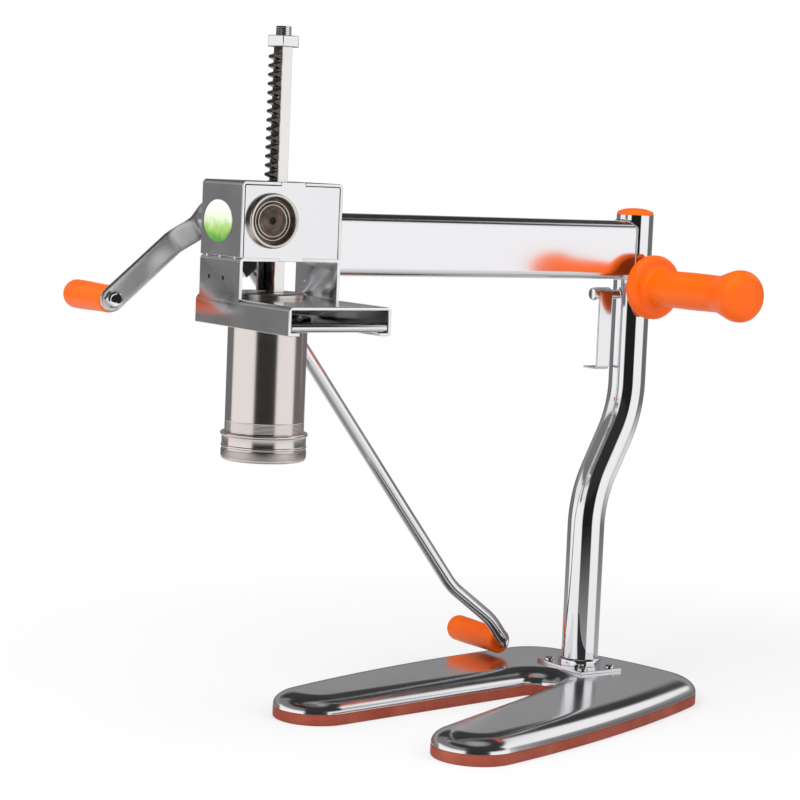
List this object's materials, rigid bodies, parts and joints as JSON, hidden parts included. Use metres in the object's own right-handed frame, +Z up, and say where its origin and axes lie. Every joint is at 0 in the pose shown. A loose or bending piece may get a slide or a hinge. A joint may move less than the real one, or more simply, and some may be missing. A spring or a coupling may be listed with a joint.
{
  "type": "pasta extruder",
  "caption": "Hand cranked noodle press: a geared rack drives a piston down a hanging cylinder, carried by a beam and bent post on a forked base.",
  "frame": {"origin": "on the table, under the axis of the lower part of the post", "axes": "+X from the press head along the beam to the post, +Y away from the drawer's open front, +Z up"},
  "size_m": [0.5129, 0.3419, 0.557],
  "materials": {
    "base_rubber": "matt brick red rubber",
    "base_plate": "bright chrome plated pressing",
    "flange_plate": "bright chrome plate",
    "flange_screws": "bright pan head screws",
    "post_tube": "bright chrome plated tube",
    "post_collar": "bright chrome",
    "post_cap": "orange moulded plastic",
    "beam": "bright chrome plated tube",
    "box_wrap": "polished stainless sheet",
    "front_plate": "polished stainless sheet",
    "back_plate": "polished stainless sheet",
    "lower_bracket": "polished stainless sheet",
    "rail_channel": "polished stainless sheet",
    "label": "printed oval sticker",
    "front_housing": "turned steel",
    "back_housing": "turned steel",
    "front_bearing": "ground bearing steel",
    "back_bearing": "ground bearing steel",
    "rack_guide": "machined steel block",
    "guide_strip": "stainless strip",
    "hand_grip": "orange moulded plastic",
    "grip_stud": "chrome plated steel",
    "hook_peg": "chrome plated steel",
    "pinion_shaft": "ground steel",
    "pinion": "cut steel gear",
    "shaft_spacer": "turned steel",
    "crank_boss": "turned steel",
    "crank_arm": "polished flat steel",
    "shaft_nut": "bright hexagon nut",
    "crank_bolt": "bright domed bolt",
    "crank_handle": "orange moulded plastic",
    "lever_hub": "bright chrome plated steel",
    "lever_rod": "bright chrome plated rod",
    "lever_handle": "orange moulded plastic",
    "rack_bar": "milled steel rack",
    "rack_nut": "bright hexagon nut",
    "piston_disc": "stainless disc",
    "piston_screw": "stainless countersunk screw",
    "drawer_plate": "polished stainless sheet",
    "cylinder_tube": "brushed stainless tube",
    "screw_ring": "knurled stainless ring",
    "die_disc": "drilled stainless disc",
    "hook_strip": "bent stainless strip"
  },
  "bodies": {
    "stand": {"base_rubber": "base_rubber", "base_plate": "base_plate", "flange_plate": "flange_plate", "flange_screws": "flange_screws", "post_tube": "post_tube", "post_collar": "post_collar", "post_cap": "post_cap", "beam": "beam", "box_wrap": "box_wrap", "front_plate": "front_plate", "back_plate": "back_plate", "lower_bracket": "lower_bracket", "rail_channel": "rail_channel", "label": "label", "front_housing": "front_housing", "back_housing": "back_housing", "front_bearing": "front_bearing", "back_bearing": "back_bearing", "rack_guide": "rack_guide", "guide_strip": "guide_strip", "hand_grip": "hand_grip", "grip_stud": "grip_stud", "hook_peg": "hook_peg"},
    "crank": {"pinion_shaft": "pinion_shaft", "pinion": "pinion", "shaft_spacer": "shaft_spacer", "crank_boss": "crank_boss", "crank_arm": "crank_arm", "shaft_nut": "shaft_nut", "crank_bolt": "crank_bolt"},
    "crank_grip": {"crank_handle": "crank_handle"},
    "lever": {"lever_hub": "lever_hub", "lever_rod": "lever_rod"},
    "lever_grip": {"lever_handle": "lever_handle"},
    "rack": {"rack_bar": "rack_bar", "rack_nut": "rack_nut", "piston_disc": "piston_disc", "piston_screw": "piston_screw"},
    "drawer": {"drawer_plate": "drawer_plate", "cylinder_tube": "cylinder_tube"},
    "ring": {"screw_ring": "screw_ring", "die_disc": "die_disc"},
    "hook": {"hook_strip": "hook_strip"}
  },
  "joints": [
    {"name": "crank_turn", "type": "hinge", "parent": "stand", "child": "crank", "pos_m": [-0.34425, 0, 0.406], "axis": [0, 1, 0], "range_deg": [0, 378]},
    {"name": "rack_feed", "type": "slide", "parent": "stand", "child": "rack", "axis": [0, 0, -1], "range_m": [0, 0.104]},
    {"name": "crank_grip_spin", "type": "hinge", "parent": "crank", "child": "crank_grip", "pos_m": [-0.42349, 0.12, 0.33711], "axis": [0, 1, 0], "continuous": true},
    {"name": "lever_swing", "type": "hinge", "parent": "stand", "child": "lever", "pos_m": [-0.34425, 0.052, 0.406], "axis": [0, 1, 0], "range_deg": [-280, 0]},
    {"name": "lever_grip_spin", "type": "hinge", "parent": "lever", "child": "lever_grip", "pos_m": [-0.04296, 0.1, 0.03525], "axis": [0, 1, 0], "continuous": true},
    {"name": "drawer_slide", "type": "slide", "parent": "stand", "child": "drawer", "axis": [0, -1, 0], "range_m": [0, 0.1]},
    {"name": "ring_turn", "type": "hinge", "parent": "drawer", "child": "ring", "pos_m": [-0.326, 0, 0.225], "axis": [0, 0, -1], "range_deg": [0, 1080]},
    {"name": "hook_swing", "type": "hinge", "parent": "stand", "child": "hook", "pos_m": [0.008, 0, 0.349], "axis": [1, 0, 0], "range_deg": [-30, 60]}
  ],
  "couplings": [
    {"joint": "rack_feed", "follows": "crank_turn", "m_per_rad": 0.01575}
  ]
}
